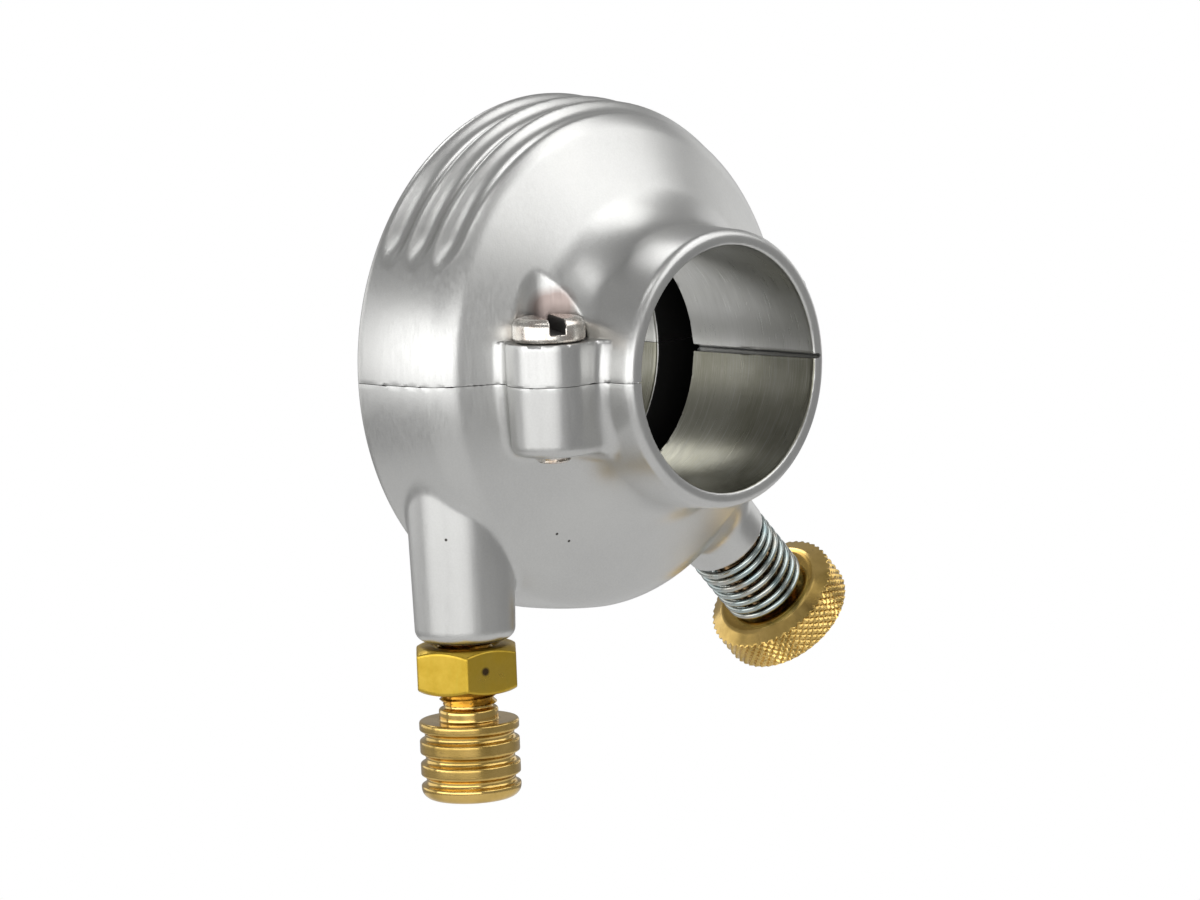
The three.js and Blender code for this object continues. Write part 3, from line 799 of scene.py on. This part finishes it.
def yellow_brass():
    """Milled nut brass, greener than the adjuster, with a dark spot."""
    n = Nodes("yellow_brass")
    tool = n.noise(1.4, 2, stretch=(2.0, 2.0, 0.3))
    patina = n.noise(0.4, 4, roughness=0.7)
    spot = n.near((NUT_SPOT,), 0.55)
    colour = n.mix(n.ramp(patina, 0.35, 0.7), (0.60, 0.41, 0.06), (0.50, 0.33, 0.035))
    colour = n.mix(n.ramp(tool, 0.55, 0.75, 0, 0.35), colour, (0.50, 0.38, 0.05))
    colour = n.mix(spot, colour, (0.09, 0.06, 0.03))
    return n.finish(colour, n.ramp(patina, 0.3, 0.7, 0.26, 0.42), n.bump(tool, 0.008))


def nickel_steel():
    """Nickel-plated steel with a faint warm stain."""
    n = Nodes("nickel_steel")
    stain = n.noise(0.8, 3)
    scuffs = n.noise(4.0, 3, roughness=0.7)
    colour = n.mix(n.ramp(stain, 0.4, 0.7), (0.74, 0.71, 0.66), (0.60, 0.53, 0.47))
    return n.finish(colour, n.ramp(scuffs, 0.3, 0.75, 0.16, 0.34), n.bump(scuffs, 0.006))


def slot_shade():
    """Painted shade in a screw's slot: near-black and mottled."""
    n = Nodes("slot_shade")
    mottle = n.noise(2.5, 3)
    colour = n.mix(n.ramp(mottle, 0.3, 0.7), (0.012, 0.011, 0.010), (0.05, 0.045, 0.04))
    return n.finish(colour, n.ramp(mottle, 0.3, 0.7, 0.5, 0.75), n.bump(mottle, 0.03), metallic=0.0)


def zinc_steel():
    """Bright zinc plate with the faint colours of its passivation."""
    n = Nodes("zinc_steel")
    film = n.noise(0.5, 2)
    drawn = n.noise(3.5, 2)
    colour = n.mix(n.ramp(film, 0.3, 0.5), (0.30, 0.38, 0.39), (0.42, 0.47, 0.46))
    colour = n.mix(n.ramp(film, 0.5, 0.7, 0, 0.7), colour, (0.50, 0.46, 0.40))
    return n.finish(colour, n.ramp(drawn, 0.3, 0.7, 0.16, 0.28), n.bump(drawn, 0.004))


def friction_compound():
    """Dark moulded friction material with pale fibres."""
    n = Nodes("friction_compound")
    fibres = n.noise(3.0, 4, stretch=(1, 1, 0.3), roughness=0.7)
    colour = n.mix(n.ramp(fibres, 0.5, 0.7), (0.03, 0.028, 0.025), (0.12, 0.10, 0.08))
    return n.finish(colour, n.ramp(fibres, 0.3, 0.7, 0.6, 0.8), n.bump(fibres, 0.03), metallic=0.0)


def studio_floor():
    """Pale paper, a little uneven in tone."""
    n = Nodes("studio_floor")
    tone = n.noise(0.004, 2)
    colour = n.mix(tone, (0.80, 0.80, 0.80), (0.84, 0.84, 0.84))
    return n.finish(colour, 0.8, metallic=0.0)


# Pieces


def face_middles(piece):
    """The middle of each face, in millimetres."""
    values = np.empty(3 * len(piece.data.polygons), np.float32)
    piece.data.polygons.foreach_get("center", values)
    return values.reshape(-1, 3) / MM


def stand_for(piece, body):
    """The piece stands for the CAD node that has its body's name."""
    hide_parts(body)
    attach(piece, body)


def build_housings():
    upper_skin = housing_skin("upper_aluminium", bore_colour=(0.62, 0.62, 0.60), stained_bore_colour=(0.55, 0.55, 0.52))
    # The lower half's bore colours are much darker than the upper's: painted shade in the lower bore.
    lower_skin_shaded_bore = housing_skin("lower_aluminium_shaded_bore", bore_colour=(0.27, 0.265, 0.22), stained_bore_colour=(0.19, 0.185, 0.14))
    halves = {
        "upper_housing": (upper_housing_field, upper_skin),
        "lower_housing": (lower_housing_field, lower_skin_shaded_bore),
    }
    for node, (field, skin) in halves.items():
        low, high = box_mm(node)
        box = low - HOUSING_ROOM, high + HOUSING_ROOM
        piece = field_piece(node + "_casting", field, box, HOUSING_STEP, (skin,))
        stand_for(piece, node)


def in_slot(piece, middle, slot_deg, up):
    """Which faces of a clamp screw line its slot."""
    x, y, z = (face_middles(piece) - np.array(middle)).T
    above_floor = up * z > CLAMP_TOP - SLOT_DEPTH - CLAMP_STEP
    return (from_slot(x, y, slot_deg) < SLOT_WIDTH / 2 + SLOT_REACH) & above_floor


def build_clamp_screws():
    skins = (nickel_steel(), slot_shade())
    for node, clamp in CLAMPS.items():
        up = head_side(node)
        bottom, top = sorted((up * clamp["tip"], up * CLAMP_TOP))
        box = round_box(CLAMP_HEAD_RADIUS, bottom, top)
        shift = (*place_mm(node + "_turn")[:2], 0)
        field = clamp_screw_field(clamp["slot_deg"], clamp["tip"], up)
        piece = field_piece(node + "_steel", field, box, CLAMP_STEP, skins, shift=shift)
        # The faces that line the slot take the near-black painted shade.
        slot_shaded = in_slot(piece, shift, clamp["slot_deg"], up)
        piece.data.polygons.foreach_set("material_index", slot_shaded.astype(np.int32))
        stand_for(piece, node)


def build_on_cable_axis(node, field, radius, skin):
    """A brass piece about the cable's axis, as high as its CAD node."""
    low, high = box_mm(node)
    box = round_box(radius, low[2], high[2])
    shift = (CABLE_AXIS[0], CABLE_AXIS[1], 0)
    piece = field_piece(node + "_brass", field, box, SMALL_STEP, (skin,), shift=shift)
    stand_for(piece, node)


def build_adjuster():
    skin = turned_brass("adjuster_brass")
    build_on_cable_axis("cable_adjuster", cable_adjuster_field, BARREL_RADIUS, skin)
    corner_radius = NUT_FLATS / math.sqrt(3)
    skin = yellow_brass()
    build_on_cable_axis("adjuster_locknut", adjuster_locknut_field, corner_radius, skin)


def thumbscrew_skins():
    """The knob's brass, its inner face darkened as painted shade, and a darker ring of painted shade at its
    root.
    """
    turn = (math.atan2(FRICTION_OUT[1], FRICTION_OUT[2]), 0, 0)
    return (
        turned_brass("thumbscrew_brass", turn),
        # Darker copies of the brass paint shade on the knob's inner face and at its root.
        turned_brass("shaded_inner_brass", turn, bright=(0.50, 0.32, 0.08), worn=(0.34, 0.21, 0.05)),
        turned_brass("shaded_root_brass", turn, bright=(0.16, 0.10, 0.05), worn=(0.07, 0.05, 0.03)),
    )


def thumbscrew_slots(thumb):
    """Which of those skins each face of the thumbscrew has."""
    middles = face_middles(thumb) - np.array(FRICTION_ORIGIN)
    from_axis = np.linalg.norm(np.cross(middles, FRICTION_OUT), axis=1)
    inward = middles @ FRICTION_OUT < KNOB[0] + INNER_FACE_REACH
    inner_face = inward & (from_axis < KNOB_RADIUS - KNOB_CHAMFER)
    at_root = from_axis < THREAD_RADIUS + ROOT_REACH
    return np.where(inner_face, np.where(at_root, 2, 1), 0)


def build_friction():
    """The thumbscrew, its pad and its spring, made about local Z and turned to their axis."""
    placed = {"turn": FRICTION_TURN, "shift": FRICTION_ORIGIN}
    box = round_box(KNOB_RADIUS, THUMB_TIP, KNOB[1])
    name = "friction_thumbscrew_brass"
    thumb = field_piece(name, friction_thumbscrew_field, box, KNURL_STEP, thumbscrew_skins(), **placed)
    thumb.data.polygons.foreach_set("material_index", thumbscrew_slots(thumb).astype(np.int32))
    stand_for(thumb, "friction_thumbscrew")

    box = round_box(PAD_RADIUS, *PAD)
    skins = (friction_compound(),)
    pad = field_piece("friction_pad_plug", friction_pad_field, box, SMALL_STEP, skins, **placed)
    stand_for(pad, "friction_pad")

    vertices, faces = spring_mesh()
    vertices = vertices @ FRICTION_TURN.T + np.array(FRICTION_ORIGIN)
    spring = new_piece("friction_spring_coil", vertices, faces, (zinc_steel(),))
    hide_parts("friction_spring")
    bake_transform(spring)


# Studio


def direction(azimuth_deg, elevation_deg):
    """The direction from the origin to something seen there."""
    azimuth, elevation = math.radians(azimuth_deg), math.radians(elevation_deg)
    flat = math.cos(elevation)
    return Vector((flat * math.cos(azimuth), flat * math.sin(azimuth), math.sin(elevation)))


def place_camera():
    """The camera stands where the view's direction says and looks a little past the handlebar's axis."""
    back = direction(VIEW_AZIMUTH, VIEW_ELEVATION)
    right = direction(VIEW_AZIMUTH + 90, 0)
    up = back.cross(right)
    roll = math.radians(VIEW_ROLL)
    right, up = (
        math.cos(roll) * right + math.sin(roll) * up,
        -math.sin(roll) * right + math.cos(roll) * up,
    )
    look = (VIEW_DISTANCE * -back - VIEW_LEFT * right - VIEW_DOWN * up).normalized()
    side = look.cross(up).normalized()
    over = side.cross(look)
    camera = bpy.data.objects.new("camera", bpy.data.cameras.new("camera"))
    camera.data.lens = VIEW_LENS
    camera.data.sensor_width = 36
    camera.data.clip_start = 0.01
    turn = Matrix((side, over, -look)).transposed()
    camera.matrix_world = Matrix.Translation(back * VIEW_DISTANCE * MM) @ turn.to_4x4()
    bpy.context.scene.collection.objects.link(camera)
    bpy.context.scene.camera = camera


def softbox(name, azimuth, elevation, distance, size, strength):
    """An area light that faces the origin. Azimuth is counted from the view's, and sizes are in metres.

    strength is its brightness as seen in a mirror.
    """
    data = bpy.data.lights.new(name, "AREA")
    data.shape = "RECTANGLE"
    data.size, data.size_y = size
    data.energy = strength * size[0] * size[1] * math.pi
    light = bpy.data.objects.new(name, data)
    outward = direction(VIEW_AZIMUTH + azimuth, elevation)
    light.location = outward * distance
    light.rotation_euler = outward.to_track_quat("Z", "Y").to_euler()
    bpy.context.scene.collection.objects.link(light)


def light_studio():
    """Soft panels in a grey surround. The camera itself sees white behind the part."""
    softbox("far_left_panel", -116, 4, 0.9, (0.75, 0.46), 0.9)
    softbox("left_panel", -58, 4, 0.9, (0.88, 0.46), 2.2)
    softbox("front_panel", -5, 4, 0.9, (0.92, 0.46), 2.3)
    softbox("right_box", 80, 40, 0.9, (1.15, 0.6), 1.4)
    softbox("overhead_box", 102, 65, 0.9, (0.66, 0.30), 1.9)
    softbox("groove_strip", -26, 63, 0.9, (0.62, 0.10), 3.2)
    softbox("back_left_box", -150, 43, 1.0, (0.36, 0.3), 3.5)
    softbox("back_right_box", 147, 6, 0.9, (0.6, 0.5), 0.65)
    world = bpy.data.worlds.new("studio")
    world.use_nodes = True
    tree = world.node_tree
    surround = tree.nodes["Background"]
    surround.inputs["Color"].default_value = (SURROUND, SURROUND, SURROUND, 1)
    white = tree.nodes.new("ShaderNodeBackground")
    white.inputs["Color"].default_value = (1, 1, 1, 1)
    seen = tree.nodes.new("ShaderNodeLightPath")
    pick = tree.nodes.new("ShaderNodeMixShader")
    tree.links.new(seen.outputs["Is Camera Ray"], pick.inputs[0])
    tree.links.new(surround.outputs[0], pick.inputs[1])
    tree.links.new(white.outputs[0], pick.inputs[2])
    tree.links.new(pick.outputs[0], tree.nodes["World Output"].inputs["Surface"])
    bpy.context.scene.world = world
    bpy.context.scene.view_settings.view_transform = "Standard"


def lay_floor():
    """A pale round floor, well below the part."""
    angle = np.arange(FLOOR_SIDES) * 2 * math.pi / FLOOR_SIDES
    x, y = FLOOR_RADIUS * np.cos(angle), FLOOR_RADIUS * np.sin(angle)
    rim = np.stack([x, y, np.full(FLOOR_SIDES, FLOOR_Z)], axis=1)
    mesh = bpy.data.meshes.new("floor")
    mesh.from_pydata((rim * MM).tolist(), [], [list(range(FLOOR_SIDES))])
    mesh.materials.append(studio_floor())
    floor = bpy.data.objects.new("floor", mesh)
    bpy.context.scene.collection.objects.link(floor)


place_camera()
light_studio()
lay_floor()
build_housings()
build_clamp_screws()
build_adjuster()
build_friction()
